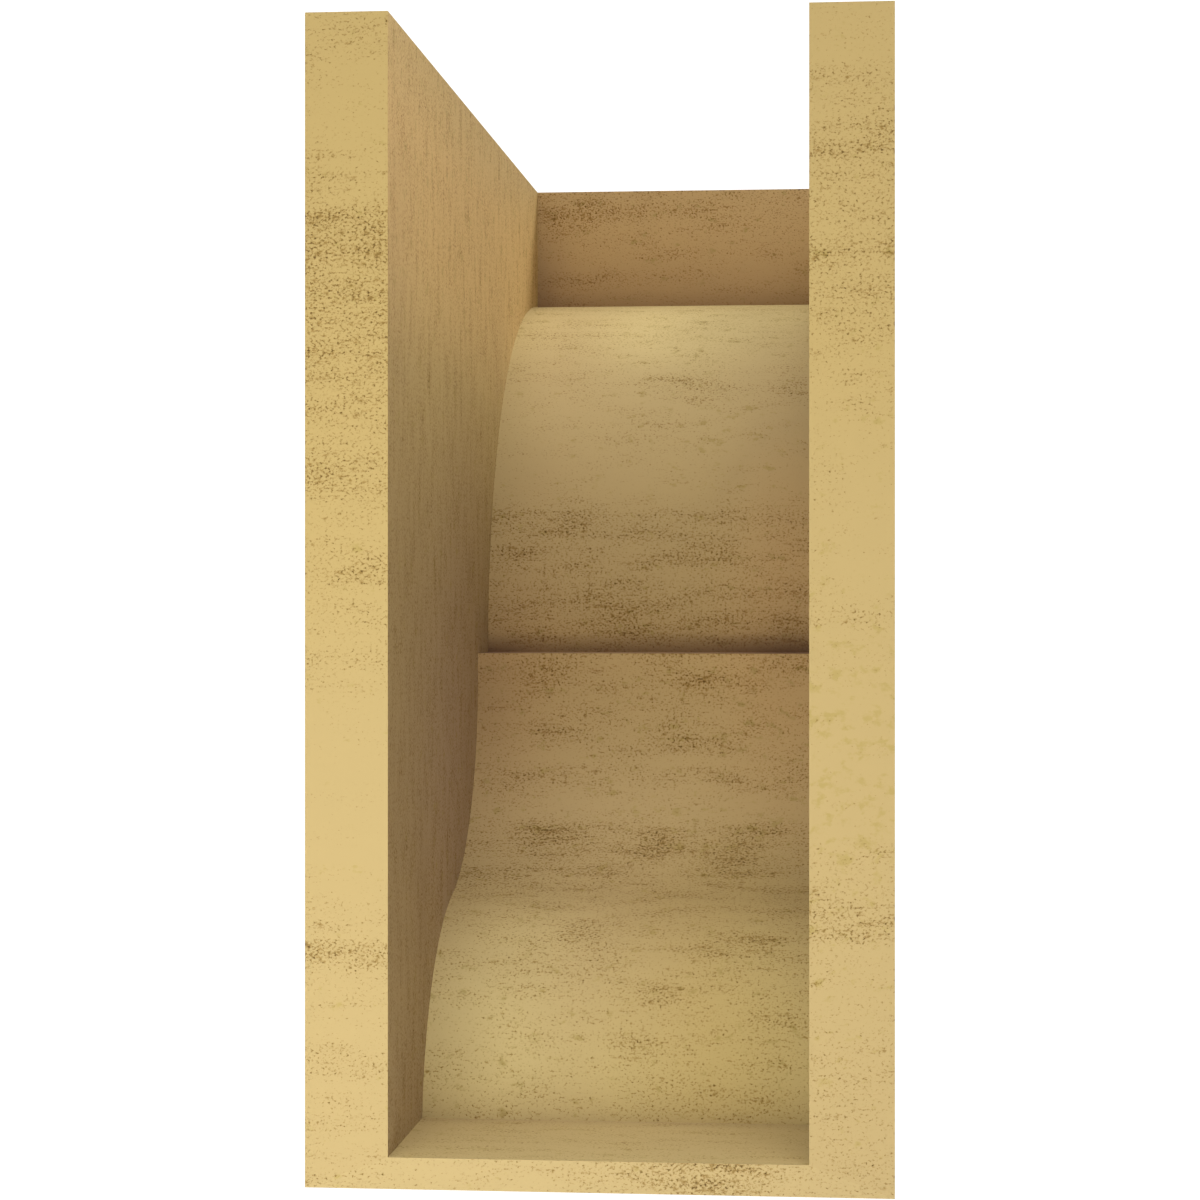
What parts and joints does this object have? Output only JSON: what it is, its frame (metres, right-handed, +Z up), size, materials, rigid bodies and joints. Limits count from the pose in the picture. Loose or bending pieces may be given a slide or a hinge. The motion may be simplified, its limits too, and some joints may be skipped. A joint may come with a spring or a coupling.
{
  "type": "corbel",
  "caption": "Hollow moulded corbel, open at the back and top: flat cheeks joined by a front shell of fascia, cove, small ledge and S-curve, to carry a shelf or beam on a wall.",
  "frame": {"origin": "middle of the bottom rail's back face, where the corbel meets the wall", "axes": "+Z up, +Y out of the back into the wall, the front faces -Y, X across the width"},
  "size_m": [0.1524, 0.3048, 0.3048],
  "materials": {
    "shell": "flat tan with fine dark pits in level streaks"
  },
  "bodies": {
    "root": {"corbel_shell": "shell"}
  },
  "joints": []
}
